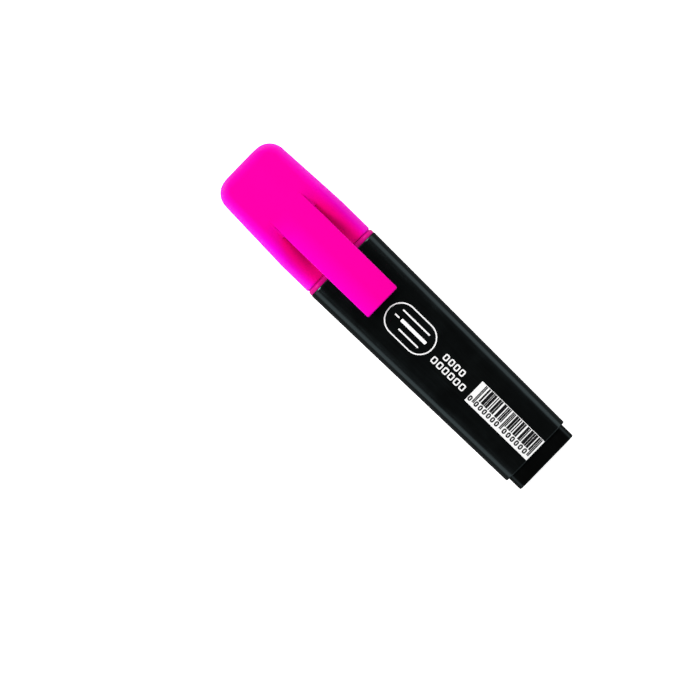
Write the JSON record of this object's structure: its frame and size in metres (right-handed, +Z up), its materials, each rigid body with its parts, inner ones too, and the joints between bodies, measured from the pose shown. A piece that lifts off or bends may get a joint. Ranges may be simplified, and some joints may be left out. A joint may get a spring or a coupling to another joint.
{
  "type": "highlighter pen",
  "caption": "Flat chisel-tip highlighter with a drafted black barrel, a stepped nib holder and a pink cap that slides off, with a springy pocket clip.",
  "frame": {"origin": "under the middle of the capped pen, on the surface that the barrel's back rests on", "axes": "+X from the tail plug to the closed end of the cap, +Z up out of the broad face that carries the pocket clip, Y across the width"},
  "size_m": [0.1194, 0.025, 0.0186],
  "materials": {
    "black_plastic": "satin",
    "pink_cap_plastic": "gloss",
    "pink_holder_plastic": "gloss",
    "bonded_fibre": "matt, soaked with ink",
    "filler_fibre": "matt, soaked with ink",
    "film": "clear film",
    "natural_plastic": "satin",
    "print_ink": "screen print"
  },
  "bodies": {
    "pen": {"barrel": "black_plastic", "tail_plug": "black_plastic", "nib_holder": "pink_holder_plastic", "nib": "bonded_fibre", "filler": "filler_fibre", "film": "film", "breather_tube": "natural_plastic"},
    "cap": {"cap": "pink_cap_plastic", "inner_cap": "natural_plastic"},
    "clip": {"pocket_clip": "pink_cap_plastic"}
  },
  "joints": [
    {"name": "cap_slide", "type": "slide", "parent": "pen", "child": "cap", "axis": [1, 0, 0], "range_m": [0, 0.06]},
    {"name": "clip_flex", "type": "hinge", "parent": "cap", "child": "clip", "pos_m": [0.03625, 0, 0.01765], "axis": [0, 1, 0], "range_deg": [0, 4], "stiffness_Nm_per_rad": 0.93}
  ]
}
